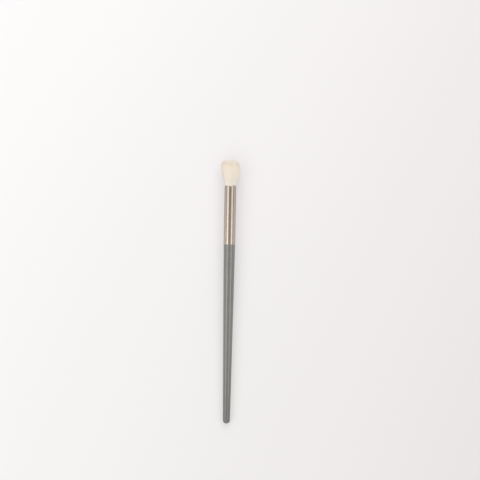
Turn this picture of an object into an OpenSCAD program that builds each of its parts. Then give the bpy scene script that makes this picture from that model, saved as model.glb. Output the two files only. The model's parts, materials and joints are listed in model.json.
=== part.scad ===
// Stippling brush, lying on its side as it comes to rest on a table.
// Each piece is drawn about the brush's long axis, with z running from the rounded end of the
// handle up to the hair. lie_down() then lays that axis along +Y, on the floor at z = 0.

/* [Handle] */
// Length of the handle that shows, from its rounded end to the shoulder
handle_l = 118.4; // [90:0.1:150]
// Diameter at the far end, where the rounded tip begins
handle_end_d = 4.6; // [3.6:0.1:6]
// How far the side swells past a straight taper, two thirds of the way up
handle_swell = 0.08; // [0:0.01:0.4]
// How far the shoulder stands back from the outside of the ferrule
shoulder_step = 0.05; // [0:0.01:0.1]
// Radius that the lacquer gives the shoulder's edge
shoulder_round = 0.12; // [0.05:0.01:0.14]
// Length of the tenon inside the ferrule
tenon_l = 15; // [8:0.5:18]
// Chamfer on the tenon's nose
tenon_chamfer = 0.8; // [0.2:0.1:1.5]
// Glue gap round the tenon
tenon_gap = 0.04; // [0.01:0.01:0.1]

/* [Ferrule] */
// Length of the tube
ferrule_l = 38.7; // [35:0.1:50]
// Outside diameter of the tube
ferrule_d = 7.5; // [6.5:0.1:9]
// Thickness of the tube's wall
ferrule_wall = 0.35; // [0.25:0.01:0.5]
// How far the mouth is turned in round the hair
lip_in = 0.18; // [0.05:0.01:0.3]
// Length of the turned-in lip
lip_l = 0.7; // [0.3:0.05:1.2]

/* [Resin] */
// Thickness of the resin below the ends of the hair
resin_floor = 3; // [1:0.1:4]
// How far the resin has crept up round the hair
resin_creep = 2.5; // [1:0.1:5]
// Thickness of the resin between the hair and the ferrule
resin_skin = 0.25; // [0.15:0.01:0.4]
// Depth of the hollow that the resin set with underneath
resin_hollow = 0.6; // [0.1:0.1:0.9]

/* [Hair] */
// Length of the hair hidden in the ferrule
root_l = 10; // [6:0.5:12]
// Length at the foot of the hair that is soaked solid with resin
soak_l = 1; // [0.5:0.1:2]
// Height of the longest fibres above the mouth
hair_l = 18.3; // [16:0.1:26]
// Height of the widest part above the mouth
belly_l = 10.8; // [9:0.1:13]
// Diameter at the widest part
hair_d = 12.4; // [10:0.1:16]
// Diameter that the sides draw in to at the very top
crown_d = 10; // [8:0.1:12]
// Depth of the dome, from its middle down to its rim
dome_l = 5.5; // [3:0.1:6]
// How square the dome is in profile: 2 is an ellipse, and more is flatter on top
dome_square = 4; // [2:0.5:6]
// How far the head sways out of line, to one side low down and to the other at the top
hair_sway = 0.5; // [0:0.05:0.8]
// Rings of locks that the short hair has gathered into, round the one in the middle
lock_rings = 5; // [3:1:6]
// Gap between neighbouring locks
lock_gap = 0.04; // [0.02:0.01:0.08]
// Depth of the notches at the corners of the locks, at the widest part
notch = 0.4; // [0.3:0.01:0.45]
// Length over which a lock narrows to its point
lock_point_l = 1.8; // [1:0.1:3]
// Thickness of a lock's point, as a share of the lock
lock_point = 0.4; // [0.1:0.05:0.6]
// How unevenly the locks end
lock_uneven = 0.35; // [0:0.05:0.6]
// How far the long fibres stand out of the short hair
long_proud = 1; // [0.6:0.1:2]
// Thickness of a long fibre's tip, as a share of its thickness
long_point = 0.3; // [0.1:0.05:0.6]

/* [Rest] */
// Depth by which the hair is pressed flat where the brush lies on it
press_depth = 0.5; // [0.2:0.05:0.7]

/* [Hidden] */
$fn = 96;
bore_r = ferrule_d / 2 - ferrule_wall;
shoulder_r = ferrule_d / 2 - shoulder_step;
end_r = handle_end_d / 2;
mouth_z = handle_l + ferrule_l;
root_z = mouth_z - root_l;
brush_l = mouth_z + hair_l;
lip_r = bore_r - lip_in;
root_r = bore_r - resin_skin;
neck_r = min(lip_r, root_r);
belly_r = hair_d / 2;
crown_r = crown_d / 2;

// Heights above the mouth at which the locks and fibres change direction
bend_steps = [0, 0.3 * belly_l, 0.65 * belly_l, belly_l, 0.7 * belly_l + 0.3 * hair_l];

// What could touch the floor besides the tip of the handle: [distance along the axis, radius]
supports = [
    [mouth_z + belly_l, belly_r - press_depth],
    [mouth_z, ferrule_d / 2],
    [handle_l, shoulder_r]
];
lie_slope = max([for (s = supports) (s[1] - end_r) / (s[0] - end_r)]);
lie_deg = asin(lie_slope);

// Lays the axis along +Y with the tip of the handle and the hair touching the floor,
// and the middle of the brush over the origin.
module lie_down() {
    y_low = end_r * cos(lie_deg) - end_r;
    y_high = brush_l * cos(lie_deg);
    translate([0, -(y_low + y_high) / 2, end_r * (1 - lie_slope)])
        rotate([lie_deg - 90, 0, 0])
            children();
}

// Points on an arc of an ellipse, from angle a to angle b
function arc_points(centre, radii, a, b, steps = 8) = [
    for (i = [0:steps])
        let (t = a + (b - a) * i / steps)
            centre + [radii[0] * cos(t), radii[1] * sin(t)]
];

// A straight taper from the end to the shoulder, with a slight swell
function handle_side(t) = [
    end_r + (shoulder_r - end_r) * t + 6.75 * handle_swell * t * t * (1 - t),
    end_r + (handle_l - shoulder_round - end_r) * t
];

module handle() {
    side_steps = 24;
    tenon_r = bore_r - tenon_gap;
    tenon_top = handle_l + tenon_l;
    round_r = [shoulder_round, shoulder_round];
    round_at = [shoulder_r - shoulder_round, handle_l - shoulder_round];
    outline = concat(
        arc_points([0, end_r], [end_r, end_r], -90, 0),
        [for (i = [1:side_steps - 1]) handle_side(i / side_steps)],
        arc_points(round_at, round_r, 0, 90),
        [
            [tenon_r, handle_l],
            [tenon_r, tenon_top - tenon_chamfer],
            [tenon_r - tenon_chamfer, tenon_top],
            [0, tenon_top]
        ]
    );
    color("#7c7b79") lie_down() rotate_extrude() polygon(outline);
}

module ferrule() {
    lip_z = ferrule_l - lip_l;
    outline = concat(
        [[bore_r, 0], [ferrule_d / 2, 0]],
        arc_points([ferrule_d / 2 - lip_in, lip_z], [lip_in, lip_l], 0, 90),
        arc_points([lip_r, lip_z], [lip_in, lip_l], 90, 0)
    );
    color("#b7a593") lie_down() translate([0, 0, handle_l]) rotate_extrude() polygon(outline);
}

module resin_plug() {
    outline = concat(
        arc_points([0, -resin_floor], [bore_r, resin_hollow], 90, 0),
        [
            [bore_r, resin_creep],
            [(bore_r + root_r) / 2, resin_creep],
            [root_r, resin_creep - resin_skin],
            [root_r, 0],
            [0, 0]
        ]
    );
    color("#d9c9a2") lie_down() translate([0, 0, root_z]) rotate_extrude() polygon(outline);
}

// Radius of the head of hair at height z above the mouth: it springs out of the mouth, bends
// upright at its widest part, and draws in a little above that
function flare(z) =
    let (low = min(max(z, 0) / belly_l, 1), high = max(z - belly_l, 0) / (hair_l - belly_l))
        neck_r + (belly_r - neck_r) * low * (2 - low) - (belly_r - crown_r) * high * high;

// How far the middle of the head lies beside the axis at height z
function sway(z) = hair_sway * sin(270 * max(z, 0) / hair_l);

// Height at which a lock or fibre ends, on a dome that reaches top in the middle; share is its
// distance from the middle as a share of the head's radius
function dome(share, top) =
    top - dome_l * (1 - pow(1 - pow(share, dome_square), 1 / dome_square));

// Outer edge of ring j as a share of the head's radius
function ring_share(j) = (j + 0.5) / (lock_rings + 0.5);

// Each ring j has 6 * j locks, and starts half a lock further round than a straight row would
function lock_angle(j, k) = j == 0 ? 0 : (k + 0.5 * (j % 2)) * 60 / j;

// Heights of the outlines that a lock or fibre passes through, from its foot to its last bend
function heights(foot, last) = [foot, each [for (z = bend_steps) if (z < last) z], last];

// How far below the axis the floor lies at height z
function floor_y(z) = ((mouth_z + z - end_r) * lie_slope + end_r) / cos(lie_deg);

// A point of the hair, where the floor presses it up if it would lie lower
function hair_point(r, angle, z) = [r * cos(angle) + sway(z), min(r * sin(angle), floor_y(z)), z];

// Corners [radius, angle] of lock k of ring j at height z, with notches at its outer corners
function lock_corners(j, k, z) =
    let (
        gap = lock_gap / 2,
        half = 30 / j,
        cut = notch * flare(z) / belly_r,
        r_out = flare(z) * ring_share(j) - gap,
        r_in = (flare(z) * ring_share(j - 1) + gap) / cos(half),
        a_in = half - asin(gap / r_in),
        a_side = half - asin(gap / (r_out - cut)),
        a_out = half - asin((gap + cut) / r_out)
    )
    [
        [r_in, a_in], [r_out - cut, a_side], [r_out, a_out], [r_out, 0],
        [r_out, -a_out], [r_out - cut, -a_side], [r_in, -a_in]
    ];

// Outline of a lock at height z, drawn in towards its middle to size times its width
function lock_outline(j, k, z, size) =
    let (
        corners = j == 0
            ? [for (a = [0:60:300]) [flare(z) * ring_share(0) - lock_gap, a]]
            : lock_corners(j, k, z),
        middle = flare(z) * j / (lock_rings + 0.5)
    )
    [
        for (c = corners)
            let (
                x = middle + (c[0] * cos(c[1]) - middle) * size,
                y = c[0] * sin(c[1]) * size
            )
            hair_point(norm([x, y]), lock_angle(j, k) + atan2(y, x), z)
    ];

// Outline at height z of the long fibre that runs in the notch beside lock k of ring j
function fibre_outline(j, k, z, size) =
    let (
        cut = notch * flare(z) / belly_r,
        r = flare(z) * ring_share(j) - cut / 2,
        thick = (cut / 2 - lock_gap / 4) * size,
        turn = atan(thick / r),
        angle = lock_angle(j, k + 0.5)
    )
    [
        hair_point(r + thick, angle, z), hair_point(r, angle + turn, z),
        hair_point(r - thick, angle, z), hair_point(r, angle - turn, z)
    ];

// Joins convex outlines, one above the other, into one strand
module strand(outlines) {
    sides = len(outlines[0]);
    ends = [[for (k = [0:sides - 1]) k], [for (k = [0:sides - 1]) sides + k]];
    for (i = [0:len(outlines) - 2])
        hull() polyhedron(concat(outlines[i], outlines[i + 1]), ends);
}

module lock(j, k) {
    top = hair_l - long_proud + lock_uneven * sin(200 * j + 130 * k);
    tip = dome(j / (lock_rings + 0.5), top);
    straight = heights(soak_l / 2 - root_l, tip - lock_point_l);
    outlines = [for (z = straight) lock_outline(j, k, z, 1)];
    strand([each outlines, lock_outline(j, k, tip, lock_point)]);
}

// The soaked foot holds all the locks together
module short_hair() {
    color("#ecdfc8")
        lie_down() translate([0, 0, mouth_z]) {
            lock(0, 0);
            for (j = [1:lock_rings])
                for (k = [0:6 * j - 1])
                    lock(j, k);
            translate([0, 0, -root_l])
                cylinder(r = neck_r, h = soak_l, $fn = 48);
        }
}

// The long fibres stand on the soaked foot and run in the notches between the rings
module long_fibres() {
    color("#f6f0e6")
        lie_down() translate([0, 0, mouth_z])
            for (j = [1:lock_rings - 1])
                for (k = [0:6 * j - 1]) {
                    tip = dome(ring_share(j), hair_l) + ((j + k) % 3 - 1) * long_proud / 4;
                    straight = heights(soak_l - root_l, tip - long_proud - lock_point_l);
                    outlines = [for (z = straight) fibre_outline(j, k, z, 1)];
                    strand([each outlines, fibre_outline(j, k, tip, long_point)]);
                }
}

handle();
ferrule();
resin_plug();
short_hair();
long_fibres();
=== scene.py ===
import json
import math

import bpy
import numpy as np
from mathutils import Matrix, Vector


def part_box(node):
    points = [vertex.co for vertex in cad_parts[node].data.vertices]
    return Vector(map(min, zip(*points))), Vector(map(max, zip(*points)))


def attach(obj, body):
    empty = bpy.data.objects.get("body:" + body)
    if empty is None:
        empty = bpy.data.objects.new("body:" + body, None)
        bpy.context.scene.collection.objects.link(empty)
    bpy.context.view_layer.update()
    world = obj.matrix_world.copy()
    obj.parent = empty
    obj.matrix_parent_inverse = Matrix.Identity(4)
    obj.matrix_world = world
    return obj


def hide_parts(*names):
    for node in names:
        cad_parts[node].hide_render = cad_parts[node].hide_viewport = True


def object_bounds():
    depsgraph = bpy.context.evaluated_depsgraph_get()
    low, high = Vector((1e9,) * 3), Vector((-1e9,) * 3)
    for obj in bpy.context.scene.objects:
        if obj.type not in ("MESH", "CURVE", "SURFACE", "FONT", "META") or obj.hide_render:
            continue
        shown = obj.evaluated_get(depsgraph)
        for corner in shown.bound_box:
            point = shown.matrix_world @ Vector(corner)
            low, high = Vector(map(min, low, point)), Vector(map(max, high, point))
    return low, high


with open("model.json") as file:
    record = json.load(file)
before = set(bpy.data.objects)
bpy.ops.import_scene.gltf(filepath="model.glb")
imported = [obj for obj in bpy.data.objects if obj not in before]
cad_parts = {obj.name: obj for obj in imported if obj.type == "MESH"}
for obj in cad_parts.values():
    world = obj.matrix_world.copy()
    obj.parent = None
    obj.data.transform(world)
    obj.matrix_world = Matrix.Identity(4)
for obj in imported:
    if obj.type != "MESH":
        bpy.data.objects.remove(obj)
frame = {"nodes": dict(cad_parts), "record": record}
cad_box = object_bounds()
scene = bpy.context.scene
scene.view_settings.view_transform = "Standard"

# The camera hangs straight above the table and looks down through a long lens. In its picture
# the brush lies a little left of and below the middle, and leans to the right by one degree.
picture_px = 480
brush_px = 266.4
brush_middle_px = (228.6, 291.05)
lean = math.radians(1.0)

brush_length = cad_box[1].y - cad_box[0].y
metres_per_px = brush_length / brush_px
lens_data = bpy.data.cameras.new("camera")
lens_data.lens = 85
lens_data.sensor_width = 36
camera = bpy.data.objects.new("camera", lens_data)
scene.collection.objects.link(camera)
scene.camera = camera
middle_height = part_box("ferrule")[1].z / 2
shot_distance = picture_px * metres_per_px * lens_data.lens / lens_data.sensor_width
right_of_brush = (picture_px / 2 - brush_middle_px[0]) * metres_per_px
above_brush = (brush_middle_px[1] - picture_px / 2) * metres_per_px
camera.location = Matrix.Rotation(lean, 3, "Z") @ Vector((right_of_brush, above_brush, 0))
camera.location.z = middle_height + shot_distance
camera.rotation_euler = (0, 0, lean)

# The table top is a sheet of pale card. Painted shade makes it a little darker towards the
# right, where the light falls off. Close to half of its brightness is its own, as plain
# background, and that share grows to all of it far from the brush, so that the shadow stays soft
# and the card has no edge.
card_width = 8
card_in_painted_shade = (0.69, 0.668, 0.682)
card_in_painted_light = (0.92, 0.918, 0.943)
painted_falloff_per_metre = (-2.2, -0.2, 0)
painted_light_at_brush = 0.5
own_light_reach = (0.3, 0.75)
own_light_share = (0.42, 1)
backdrop_colour = (0.905, 0.888, 0.896, 1)


def new_finish(name):
    """A new material, with its node tree and the tree's Principled shader."""
    material = bpy.data.materials.new(name)
    material.use_nodes = True
    return material, material.node_tree, material.node_tree.nodes["Principled BSDF"]


def combined(tree, operation, first, second):
    """Two values put together by a Math node. The second may be a plain number."""
    node = tree.nodes.new("ShaderNodeMath")
    node.operation = operation
    tree.links.new(first, node.inputs[0])
    if isinstance(second, (int, float)):
        node.inputs[1].default_value = second
    else:
        tree.links.new(second, node.inputs[1])
    return node.outputs[0]


def ranged(tree, value, old_range, new_range):
    """The value, brought from its old range to the new one and kept inside it."""
    node = tree.nodes.new("ShaderNodeMapRange")
    node.inputs["From Min"].default_value = old_range[0]
    node.inputs["From Max"].default_value = old_range[1]
    node.inputs["To Min"].default_value = new_range[0]
    node.inputs["To Max"].default_value = new_range[1]
    tree.links.new(value, node.inputs["Value"])
    return node.outputs["Result"]


def coloured(tree, value, *stops):
    """The colour that the value picks between stops, each of which is (value, colour)."""
    node = tree.nodes.new("ShaderNodeValToRGB")
    elements = node.color_ramp.elements
    for element, (place, colour) in zip(elements, (stops[0], stops[-1])):
        element.position = place
        element.color = (*colour, 1)
    for place, colour in stops[1:-1]:
        elements.new(place).color = (*colour, 1)
    tree.links.new(value, node.inputs["Fac"])
    return node.outputs["Color"]


def in_view(tree):
    """1 where the camera looks, straight or by a reflection, and 0 for all other light."""
    ray = tree.nodes.new("ShaderNodeLightPath")
    return combined(tree, "MAXIMUM", ray.outputs["Is Camera Ray"], ray.outputs["Is Glossy Ray"])


bpy.ops.object.select_all(action="DESELECT")
bpy.ops.mesh.primitive_plane_add(size=card_width)
floor = bpy.context.object
floor.name = "floor"
card, tree, shader = new_finish("pale card")
shader.inputs["Roughness"].default_value = 0.8
shader.inputs["Specular IOR Level"].default_value = 0.1
where = tree.nodes.new("ShaderNodeTexCoord")
# Painted shade: the card's colour grows darker towards the right, where the light falls off.
slope = tree.nodes.new("ShaderNodeVectorMath")
slope.operation = "DOT_PRODUCT"
slope.inputs[1].default_value = painted_falloff_per_metre
tree.links.new(where.outputs["Object"], slope.inputs[0])
lightness = combined(tree, "ADD", slope.outputs["Value"], painted_light_at_brush)
card_with_painted_falloff = coloured(tree, lightness, (0, card_in_painted_shade), (1, card_in_painted_light))
tree.links.new(card_with_painted_falloff, shader.inputs["Base Color"])
distance = tree.nodes.new("ShaderNodeVectorMath")
distance.operation = "LENGTH"
tree.links.new(where.outputs["Object"], distance.inputs[0])
own_light = ranged(tree, distance.outputs["Value"], own_light_reach, own_light_share)
backdrop = tree.nodes.new("ShaderNodeEmission")
backdrop.inputs["Color"].default_value = backdrop_colour
blend = tree.nodes.new("ShaderNodeMixShader")
tree.links.new(combined(tree, "MULTIPLY", own_light, in_view(tree)), blend.inputs["Fac"])
tree.links.new(shader.outputs["BSDF"], blend.inputs[1])
tree.links.new(backdrop.outputs["Emission"], blend.inputs[2])
tree.links.new(blend.outputs["Shader"], tree.nodes["Material Output"].inputs["Surface"])
floor.data.materials.append(card)

# Two long softboxes hang either side of the brush, the left one the brighter, which draws the
# bright bands on the metal. Panels beyond the ends of the brush fill in, most from the far side,
# for the top of the hair. The room is dim overhead, and its pale walls light the sides a little.
lamp_distance = 0.8
dim_ceiling = (0.36, 0.34, 0.30, 1)
wall_fade = (0.05, 0.35)
wall_light_share = 0.7
for name, turn, tilt, width, length, power in (
    ("softbox left", 0, -45, 0.42, 1.2, 2.45),
    ("softbox right", 0, 42, 0.38, 0.7, 1.08),
    ("fill panel far", 84, 50, 0.8, 0.8, 4.3),
    ("fill panel near", 90, -50, 0.8, 0.8, 1.3),
):
    light = bpy.data.lights.new(name, "AREA")
    light.shape = "RECTANGLE"
    light.size = width
    light.size_y = length
    light.energy = power
    lamp = bpy.data.objects.new(name, light)
    round_table = Matrix.Rotation(math.radians(turn), 4, "Z")
    off_upright = Matrix.Rotation(math.radians(tilt), 4, "Y")
    lamp.matrix_world = round_table @ off_upright @ Matrix.Translation((0, 0, lamp_distance))
    scene.collection.objects.link(lamp)

room = bpy.data.worlds.new("room")
scene.world = room
room.use_nodes = True
tree = room.node_tree
direction = tree.nodes.new("ShaderNodeTexCoord")
rise = tree.nodes.new("ShaderNodeSeparateXYZ")
tree.links.new(direction.outputs["Generated"], rise.inputs["Vector"])
wall = ranged(tree, rise.outputs["Z"], wall_fade, (1, 0))
shown = combined(tree, "MAXIMUM", in_view(tree), wall_light_share)
surround = tree.nodes.new("ShaderNodeMix")
surround.data_type = "RGBA"
surround.inputs["A"].default_value = dim_ceiling
surround.inputs["B"].default_value = backdrop_colour
tree.links.new(combined(tree, "MULTIPLY", wall, shown), surround.inputs["Factor"])
tree.links.new(surround.outputs["Result"], tree.nodes["Background"].inputs["Color"])

# The handle is one turned piece of wood with a tenon at its thick end. All of it that shows is
# dipped in a satin grey lacquer, which rounds the shoulder where the ferrule meets it. The
# lacquer's colour is a little darker towards the thin end.
mount = frame["record"]["mounts"][0]
toward_hair = -Vector(mount["axis"]).normalized()
tube_radius = mount["dims"]["r_mm"] / 1000
tube_length = mount["dims"]["length_mm"] / 1000
tube_wall = 0.00035
shoulder = Vector(mount["pos_m"]) - toward_hair * tube_length / 2
across = Vector((1, 0, 0))
brush_turn = Matrix((across, toward_hair.cross(across), toward_hair)).transposed().to_4x4()
round_steps = 96
weld_distance = 5e-6
edge_angle = math.radians(40)


def turned(name, rings, start, beside=lambda z: 0):
    """A piece turned on the lathe: each ring is (radius, distance z from start along the axis).

    beside(z) is how far the middle of the ring at z lies beside the axis.
    """
    bpy.ops.object.select_all(action="DESELECT")
    radius, z = rings[0]
    middle = (beside(z), 0, z)
    bpy.ops.mesh.primitive_circle_add(vertices=round_steps, radius=radius, location=middle)
    piece = bpy.context.object
    piece.name = name
    bpy.ops.object.mode_set(mode="EDIT")
    bpy.ops.mesh.select_all(action="SELECT")
    for (r_from, z_from), (r_to, z_to) in zip(rings, rings[1:]):
        move = (beside(z_to) - beside(z_from), 0, z_to - z_from)
        bpy.ops.mesh.extrude_edges_move(TRANSFORM_OT_translate={"value": move})
        grow = r_to / r_from
        bpy.ops.transform.resize(value=(grow, grow, 1), center_override=(beside(z_to), 0, z_to))
    bpy.ops.mesh.select_all(action="SELECT")
    bpy.ops.mesh.remove_doubles(threshold=weld_distance)
    bpy.ops.mesh.normals_make_consistent(inside=False)
    bpy.ops.object.mode_set(mode="OBJECT")
    bpy.ops.object.shade_smooth_by_angle(angle=edge_angle)
    piece.matrix_world = Matrix.Translation(start) @ brush_turn @ piece.matrix_world
    bpy.ops.object.transform_apply(location=True, rotation=True, scale=True)
    return piece


def arc(centre, radii, first, last, steps):
    """Rings on an arc of an ellipse, from the first angle to the last, in degrees."""
    rings = []
    for i in range(steps + 1):
        angle = math.radians(first + (last - first) * i / steps)
        radius = centre[0] + radii[0] * math.cos(angle)
        rings.append((radius, centre[1] + radii[1] * math.sin(angle)))
    return rings


# A ring of this radius is welded shut.
pole = 1e-6
end_radius = 0.0023
shoulder_step = 0.00005
shoulder_radius = tube_radius - shoulder_step
shoulder_round = 0.00012
swell = 0.00008
# t * t * (1 - t) is at most 4 / 27, so this brings it to 1.
swell_scale = 27 / 4
glue_gap = 0.00004
bore_radius = tube_radius - tube_wall
tenon_radius = bore_radius - glue_gap
tenon_length = 0.015
tenon_chamfer = 0.0008
side_steps = 60
handle_end_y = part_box("handle")[0].y
handle_end = shoulder + toward_hair * (handle_end_y - shoulder.y) / toward_hair.y
handle_length = (shoulder - handle_end).length
tenon_top = handle_length + tenon_length
side_start, side_end = end_radius, handle_length - shoulder_round
side = []
for i in range(1, side_steps):
    t = i / side_steps
    straight = end_radius + (shoulder_radius - end_radius) * t
    radius = straight + swell_scale * swell * t * t * (1 - t)
    side.append((radius, side_start + (side_end - side_start) * t))
rounded = (shoulder_radius - shoulder_round, side_end)
rings = [(pole, 0)]
rings += arc((0, end_radius), (end_radius, end_radius), -90, 0, steps=16)[1:]
rings += side
rings += arc(rounded, (shoulder_round, shoulder_round), 0, 90, steps=6)
rings += [(tenon_radius, handle_length), (tenon_radius, tenon_top - tenon_chamfer)]
rings += [(tenon_radius - tenon_chamfer, tenon_top), (pole, tenon_top)]
handle = turned("turned_handle", rings, handle_end)


def along_brush(tree, start):
    """Object coordinates turned so that z runs along the brush from start."""
    where = tree.nodes.new("ShaderNodeTexCoord")
    mapping = tree.nodes.new("ShaderNodeMapping")
    back = brush_turn.inverted()
    mapping.inputs["Rotation"].default_value = back.to_euler()
    mapping.inputs["Location"].default_value = -(back.to_3x3() @ start)
    tree.links.new(where.outputs["Object"], mapping.inputs["Vector"])
    return mapping.outputs["Vector"]


# Node group for a finish that isn't even: noise with one scale across the brush and another
# along it, for the patches and ripples of lacquer, the grain of wood and the lines of brushing.
grain = bpy.data.node_groups.new("grain", "ShaderNodeTree")
grain.interface.new_socket("Vector", in_out="INPUT", socket_type="NodeSocketVector")
grain.interface.new_socket("Scale Across", in_out="INPUT", socket_type="NodeSocketFloat")
grain.interface.new_socket("Scale Along", in_out="INPUT", socket_type="NodeSocketFloat")
grain.interface.new_socket("Detail", in_out="INPUT", socket_type="NodeSocketFloat")
grain.interface.new_socket("Grain", in_out="OUTPUT", socket_type="NodeSocketFloat")
given = grain.nodes.new("NodeGroupInput")
scales = grain.nodes.new("ShaderNodeCombineXYZ")
grain.links.new(given.outputs["Scale Across"], scales.inputs["X"])
grain.links.new(given.outputs["Scale Across"], scales.inputs["Y"])
grain.links.new(given.outputs["Scale Along"], scales.inputs["Z"])
stretched = grain.nodes.new("ShaderNodeVectorMath")
stretched.operation = "MULTIPLY"
grain.links.new(given.outputs["Vector"], stretched.inputs[0])
grain.links.new(scales.outputs["Vector"], stretched.inputs[1])
noise = grain.nodes.new("ShaderNodeTexNoise")
noise.inputs["Scale"].default_value = 1
grain.links.new(stretched.outputs["Vector"], noise.inputs["Vector"])
grain.links.new(given.outputs["Detail"], noise.inputs["Detail"])
result = grain.nodes.new("NodeGroupOutput")
grain.links.new(noise.outputs["Fac"], result.inputs["Grain"])


def grained(tree, place, across, along, detail):
    """The grain at that place, with its scales across the brush and along it."""
    node = tree.nodes.new("ShaderNodeGroup")
    node.node_tree = grain
    node.inputs["Scale Across"].default_value = across
    node.inputs["Scale Along"].default_value = along
    node.inputs["Detail"].default_value = detail
    tree.links.new(place, node.inputs["Vector"])
    return node.outputs["Grain"]


def shaded(tree, colour, shade):
    """The colour times the shade, which is 1 where the colour stays as it is."""
    node = tree.nodes.new("ShaderNodeMix")
    node.data_type = "RGBA"
    node.blend_type = "MULTIPLY"
    node.inputs["Factor"].default_value = 1
    tree.links.new(colour, node.inputs["A"])
    tree.links.new(shade, node.inputs["B"])
    return node.outputs["Result"]


def add_bump(tree, shader, height, strength, distance):
    """Gives the shader a bump of that height."""
    node = tree.nodes.new("ShaderNodeBump")
    node.inputs["Strength"].default_value = strength
    node.inputs["Distance"].default_value = distance
    tree.links.new(height, node.inputs["Height"])
    tree.links.new(node.outputs["Normal"], shader.inputs["Normal"])


darker_lacquer = (0.25, 0.247, 0.242)
lighter_lacquer = (0.27, 0.266, 0.261)
lacquer_roughness = (0.22, 0.28)
darker_end_length = 0.05
thin_end_tone = 0.82
lacquer, tree, shader = new_finish("satin grey lacquer")
shader.inputs["Metallic"].default_value = 0.45
shader.inputs["Specular IOR Level"].default_value = 0.2
shader.inputs["Specular Tint"].default_value = (0.5, 0.5, 0.5, 1)
place = along_brush(tree, handle_end)
patches = grained(tree, place, across=160, along=160, detail=4)
coat = coloured(tree, patches, (0.3, darker_lacquer), (0.7, lighter_lacquer))
height = tree.nodes.new("ShaderNodeSeparateXYZ")
tree.links.new(place, height.inputs["Vector"])
# The lacquer's colour grows a little darker towards the thin end.
toward_thin_end = ranged(tree, height.outputs["Z"], (0, darker_end_length), (thin_end_tone, 1))
tree.links.new(shaded(tree, coat, toward_thin_end), shader.inputs["Base Color"])
gloss = ranged(tree, patches, (0, 1), lacquer_roughness)
tree.links.new(gloss, shader.inputs["Roughness"])
ripples = grained(tree, place, across=2600, along=2600, detail=4)
add_bump(tree, shader, ripples, strength=0.25, distance=0.00002)
handle.data.materials.append(lacquer)

darker_wood = (0.42, 0.27, 0.15)
lighter_wood = (0.62, 0.45, 0.28)
shoulder_tolerance = 1e-6
bare_wood, tree, shader = new_finish("bare tenon wood")
shader.inputs["Roughness"].default_value = 0.7
wood_grain = grained(tree, along_brush(tree, handle_end), across=900, along=60, detail=6)
wood_colour = coloured(tree, wood_grain, (0.35, darker_wood), (0.65, lighter_wood))
tree.links.new(wood_colour, shader.inputs["Base Color"])
handle.data.materials.append(bare_wood)
for face in handle.data.polygons:
    if (face.center - shoulder).dot(toward_hair) > -shoulder_tolerance:
        face.material_index = 1
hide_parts("handle")
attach(handle, "root")

# The ferrule is a straight drawn tube, brushed finely along its length and anodised in
# champagne. It is glued over the tenon, and its mouth is rolled in a little to grip the hair.
lip_length = 0.0007
lip_in = 0.00018
deburr = 0.00006
tube_steps = 12
rings = [(bore_radius, tube_length)]
rings += [(bore_radius, deburr), (bore_radius + deburr, 0)]
rings += [(tube_radius - deburr, 0)]
rings += arc((tube_radius - deburr, deburr), (deburr, deburr), -90, 0, steps=4)[1:]
rings += [(tube_radius, tube_length * i / tube_steps) for i in range(1, tube_steps)]
rings += arc((tube_radius - lip_in, tube_length), (lip_in, lip_length), 0, 90, steps=10)
rings += arc((bore_radius - lip_in, tube_length), (lip_in, lip_length), 90, 0, steps=10)
ferrule = turned("ferrule_tube", rings, shoulder)

champagne_at_handle = (0.58, 0.505, 0.44)
champagne_at_mouth = (0.53, 0.462, 0.40)
champagne, tree, shader = new_finish("champagne anodised metal")
shader.inputs["Metallic"].default_value = 1
shader.inputs["Specular Tint"].default_value = (0.4, 0.4, 0.4, 1)
shader.inputs["Roughness"].default_value = 0.262
place = along_brush(tree, shoulder)
height = tree.nodes.new("ShaderNodeSeparateXYZ")
tree.links.new(place, height.inputs["Vector"])
up_tube = ranged(tree, height.outputs["Z"], (0, tube_length), (0, 1))
metal_colour = coloured(tree, up_tube, (0.1, champagne_at_handle), (0.9, champagne_at_mouth))
tree.links.new(metal_colour, shader.inputs["Base Color"])
brushed_lines = grained(tree, place, across=7000, along=50, detail=3)
add_bump(tree, shader, brushed_lines, strength=0.2, distance=0.000002)
ferrule.data.materials.append(champagne)
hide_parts("ferrule")
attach(ferrule, "root")

# The resin is poured in amber and sets hard round the foot of the hair, with a few bubbles.
# Nothing of it shows once the ferrule is on the handle.
clear_amber = (0.85, 0.74, 0.5)
deep_amber = (0.69, 0.56, 0.33)
resin = frame["nodes"]["resin_plug"]
amber, tree, shader = new_finish("amber resin")
shader.inputs["Roughness"].default_value = 0.15
bubbles = tree.nodes.new("ShaderNodeTexVoronoi")
bubbles.inputs["Scale"].default_value = 1800
tree.links.new(along_brush(tree, shoulder), bubbles.inputs["Vector"])
resin_colour = coloured(tree, bubbles.outputs["Distance"], (0.1, clear_amber), (0.3, deep_amber))
tree.links.new(resin_colour, shader.inputs["Base Color"])
resin.data.materials.clear()
resin.data.materials.append(amber)

# The head is a dense bundle of fine cream hair, cut to a dome and glued at the foot. Its heart
# is one packed mass in the ferrule and the middle of the head, where no single hair shows. Like
# any soft head it isn't quite straight, and the table presses it flat where the brush lies on it.
mouth = shoulder + toward_hair * (tube_length + lip_length)
root_length = 0.010
neck_gap = 0.00025
neck_radius = bore_radius - neck_gap
belly_height = 0.0108
belly_radius = 0.0062
crown_radius = 0.005
dome_depth = 0.0055
dome_square = 4
sway_width = 0.0005
sway_turn = np.radians(270)
short_top = 0.0173
long_top = 0.0183
floor_clearance = 0.00002
press_height = 0.0014
press_depth = 0.0005


def flare(z):
    """Radius of the head at height z above the mouth."""
    low = np.clip(z / belly_height, 0, 1)
    high = np.clip(z - belly_height, 0, None) / (long_top - belly_height)
    widened = neck_radius + (belly_radius - neck_radius) * low * (2 - low)
    return widened - (belly_radius - crown_radius) * high**2


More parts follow.
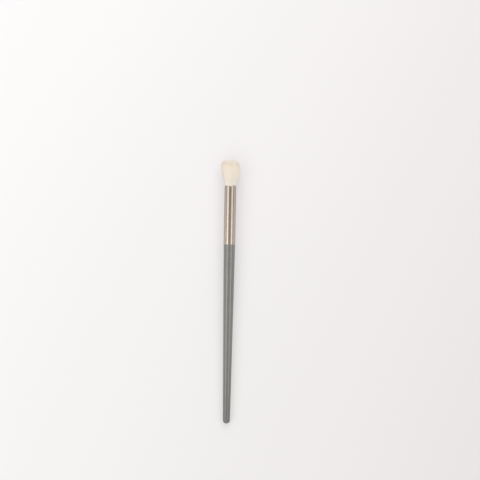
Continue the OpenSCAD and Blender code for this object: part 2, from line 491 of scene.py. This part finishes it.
def sway(z):
    """How far the middle of the head lies beside the axis at height z."""
    return sway_width * np.sin(sway_turn * np.clip(z, 0, None) / long_top)


def dome(share, top):
    """Height at which hair ends, at that share of the head's radius."""
    return top - dome_depth * (1 - (1 - share**dome_square) ** (1 / dome_square))


def pressed(heights):
    """Heights over the table, where what would lie below it is squeezed up to it."""
    squeeze = (press_height - floor_clearance) / (press_height + press_depth)
    squeezed = np.maximum(press_height - (press_height - heights) * squeeze, floor_clearance)
    return np.where(heights < press_height, squeezed, heights)


heart_share = 0.965
heart_top = 0.0161
heart_step = 0.0004
flare_rings = 28
dome_rings = 13
rim_height = float(dome(1, heart_top))
rings = [(pole, 0), (neck_radius, 0), (neck_radius, root_length - heart_step)]
for z in np.linspace(0, rim_height, flare_rings)[1:]:
    rings.append((float(heart_share * flare(z)), float(root_length + z)))
for turn in np.radians(np.linspace(90, 0, dome_rings)[1:-1]):
    share = float(np.sin(turn) ** (2 / dome_square))
    z = float(dome(share, heart_top))
    rings.append((float(heart_share * share * flare(z)), root_length + z))
rings.append((pole, root_length + heart_top))
heart_foot = mouth - toward_hair * root_length
heart = turned("hair_heart", rings, heart_foot, lambda z: float(sway(z - root_length)))
spots = np.empty(3 * len(heart.data.vertices))
heart.data.vertices.foreach_get("co", spots)
spots[2::3] = pressed(spots[2::3])
heart.data.vertices.foreach_set("co", spots)


def hair_material(name, root_colour, belly_colour, paler_tip_and_painted_light, tone_spread, roughness):
    """Hair that changes colour from root to tip, with a tone of its own for every strand."""
    material, tree, shader = new_finish(name)
    shader.inputs["Roughness"].default_value = roughness
    shader.inputs["Specular IOR Level"].default_value = 0.3
    shader.inputs["Sheen Weight"].default_value = 0.8
    along = tree.nodes.new("ShaderNodeAttribute")
    along.attribute_name = "along"
    # The tip is paler: partly the hair's own colour, partly painted light for light shining
    # through the thin tips.
    stops = (0, root_colour), (0.7, belly_colour), (1, paler_tip_and_painted_light)
    colour = coloured(tree, along.outputs["Fac"], *stops)
    tone = tree.nodes.new("ShaderNodeAttribute")
    tone.attribute_name = "tone"
    shade = ranged(tree, tone.outputs["Fac"], (0, 1), (1 - tone_spread, 1))
    tree.links.new(shaded(tree, colour, shade), shader.inputs["Base Color"])
    return material


cream = hair_material(
    "cream hair",
    root_colour=(0.95, 0.895, 0.815),
    belly_colour=(0.95, 0.855, 0.74),
    # Paler tip: partly the hair's own colour, partly painted light through the thin tips.
    paler_tip_and_painted_light=(0.99, 0.947, 0.888),
    tone_spread=0.18,
    roughness=0.5,
)
heart.data.materials.append(cream)
for attribute, value in (("along", 0.3), ("tone", 0.8)):
    layer = heart.data.attributes.new(attribute, "FLOAT", "POINT")
    layer.data.foreach_set("value", [value] * len(heart.data.vertices))
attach(heart, "root")

# The short hair stands round that mass by the thousand, in fine strands that taper and lean to
# their locks. The outer ones spring out of the ferrule's mouth. The inner ones are rooted in the
# mass, because only their tips show, on the dome. A few stray ones stand out at the sides.
widest_share = 1.04
rim_share = 0.99
lock_total = 260
lock_unevenness = 0.00012
tip_unevenness = 0.0001
shortest_hair = 0.0008
hair_sides = 3
hair_twist = 0.25
ring_crowding = 0.8
golden_turn = math.radians(137.508)
lock_index = np.arange(lock_total)
lock_share = np.sqrt((lock_index + 0.5) / lock_total)
lock_turn = lock_index * golden_turn
lock_places = np.stack([lock_share * np.cos(lock_turn), lock_share * np.sin(lock_turn)], 1)
random = np.random.default_rng(7)
lock_lift = random.uniform(-lock_unevenness, lock_unevenness, lock_total)
lock_tone = random.uniform(0, 1, lock_total)
brush_to_frame = np.array(Matrix.Translation(mouth) @ brush_turn)


def strands(name, random, share, start, top, rings, thickness, taper, gather, stray, blunt=0.2):
    """One mesh of three-sided hairs, each standing at its share of the head's radius.

    They run from the start height to a dome of that top, lean to their locks by gather and
    wander by stray. Over a last stretch, taper, they narrow to the share blunt.
    """
    count = len(share)
    angle = random.uniform(0, 2 * math.pi, count)
    root = np.stack([share * np.cos(angle), share * np.sin(angle)], 1)
    nearest = ((root[:, None, :] - lock_places[None, :, :]) ** 2).sum(2).argmin(1)
    pull = (lock_places[nearest] - root) * gather * random.uniform(0.5, 1, (count, 1))
    wander = random.normal(0, stray, (count, 2))
    tip = dome(np.clip(share, 0, rim_share), top) + lock_lift[nearest]
    tip = np.minimum(tip + random.normal(0, tip_unevenness, count), long_top)
    start = np.minimum(start, tip - shortest_hair)
    t = np.linspace(0, 1, rings)[None, :] ** ring_crowding
    z = start[:, None] + (tip - start)[:, None] * t
    bend = np.clip(z / tip[:, None], 0, 1)[:, :, None] ** 2
    place = root[:, None, :] + (pull[:, None, :] + wander[:, None, :]) * bend
    place *= np.minimum(1, widest_share / np.linalg.norm(place, axis=2, keepdims=True))
    centre = np.concatenate([place * flare(z)[:, :, None], z[:, :, None]], 2)
    centre[:, :, 0] += sway(z)
    size = np.clip((1 - t) * (tip - start)[:, None] / taper, blunt, 1) * thickness / 2
    turn = (angle + random.normal(0, hair_twist, count))[:, None]
    # One corner of a hair's section stands outward, and the other two lie to its sides.
    outward = np.array([0.45, -0.15, -0.15])
    sideways = np.array([0, 1, -1])
    across_hair = np.stack(
        [
            outward * np.cos(turn) - sideways * np.sin(turn),
            outward * np.sin(turn) + sideways * np.cos(turn),
            np.zeros((count, hair_sides)),
        ],
        2,
    )[:, None]
    points = centre[:, :, None, :] + across_hair * size[:, :, None, None]
    points = points.reshape(-1, 3) @ brush_to_frame[:3, :3].T + brush_to_frame[:3, 3]
    points[:, 2] = pressed(points[:, 2])
    first = (np.arange(count) * rings * hair_sides)[:, None, None]
    corner = np.arange(hair_sides)[None, None, :]
    next_corner = (corner + 1) % hair_sides
    below = first + (np.arange(rings - 1) * hair_sides)[None, :, None]
    above = below + hair_sides
    walls = [below + corner, below + next_corner, above + next_corner, above + corner]
    walls = np.stack(walls, 3).reshape(-1, 4)
    bottoms = (first[:, 0] + np.array([[2, 1, 0]])).reshape(-1, hair_sides)
    last = first[:, 0] + (rings - 1) * hair_sides
    tops = (last + np.array([[0, 1, 2]])).reshape(-1, hair_sides)
    mesh = bpy.data.meshes.new(name)
    mesh.from_pydata(points, [], walls.tolist() + bottoms.tolist() + tops.tolist())
    own_tone = 0.5 * lock_tone[nearest] + 0.5 * random.uniform(0, 1, count)
    for attribute, value in (
        ("along", np.repeat(np.clip(z / long_top, 0, 1).reshape(-1), hair_sides)),
        ("tone", np.repeat(own_tone, rings * hair_sides)),
    ):
        layer = mesh.attributes.new(attribute, "FLOAT", "POINT")
        layer.data.foreach_set("value", value.astype(np.float32))
    piece = bpy.data.objects.new(name, mesh)
    scene.collection.objects.link(piece)
    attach(piece, "root")
    return piece


outer_count = 3600
outer_layer = 0.025
outer_unevenness = 0.001
outer_hair = []
for part in (1, 2):
    random = np.random.default_rng(part)
    outer_hair.append(
        strands(
            f"outer_hair_{part}",
            random,
            share=heart_share + outer_layer * random.uniform(0, 1, outer_count),
            start=-0.0006,
            top=short_top - outer_unevenness * random.uniform(0, 1, outer_count),
            rings=9,
            thickness=0.00009,
            taper=0.0015,
            gather=0.2,
            stray=0.008,
        )
    )

inner_count = 14000
inner_reach = 0.97
inner_root_reach = 0.98
inner_root_depth = 0.0005
inner_unevenness = 0.0002
random = np.random.default_rng(3)
share = inner_reach * np.sqrt(random.uniform(0, 1, inner_count))
inner_hair = strands(
    "inner_hair",
    random,
    share=share,
    start=dome(share / inner_root_reach, heart_top) - inner_root_depth,
    top=heart_top + inner_unevenness + random.exponential(inner_unevenness, inner_count),
    rings=3,
    thickness=0.00011,
    taper=0.0003,
    gather=0.15,
    stray=0.012,
    blunt=0.4,
)

stray_count = 260
stray_unevenness = 0.006
random = np.random.default_rng(5)
stray_hair = strands(
    "stray_hair",
    random,
    share=random.uniform(inner_reach, 1, stray_count),
    start=0.001,
    top=short_top - stray_unevenness * random.uniform(0, 1, stray_count),
    rings=12,
    thickness=0.00005,
    taper=0.003,
    gather=0,
    stray=0.03,
)

for piece in (*outer_hair, inner_hair, stray_hair):
    piece.data.materials.append(cream)
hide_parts("short_hair")

# The long fibres are finer, paler and straighter. They are mixed through the short hair and
# stand out of its dome as a soft fringe, which is what stipples the colour on.
pale_fibre = hair_material(
    "pale long fibre",
    root_colour=(0.92, 0.87, 0.80),
    belly_colour=(0.95, 0.90, 0.84),
    # Paler tip: partly the fibre's own colour, partly painted light through the thin tips.
    paler_tip_and_painted_light=(0.97, 0.95, 0.92),
    tone_spread=0.05,
    roughness=0.35,
)
fibre_count = 1300
fibre_reach = 0.985
fibre_root_depth = 0.0025
fibre_unevenness = 0.0022
random = np.random.default_rng(4)
share = fibre_reach * np.sqrt(random.uniform(0, 1, fibre_count))
fringe = strands(
    "long_fibres_fringe",
    random,
    share=share,
    start=dome(share, heart_top) - fibre_root_depth,
    top=long_top - fibre_unevenness * random.uniform(0, 1, fibre_count),
    rings=7,
    thickness=0.00005,
    taper=0.003,
    gather=0,
    stray=0.02,
)
fringe.data.materials.append(pale_fibre)
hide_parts("long_fibres")
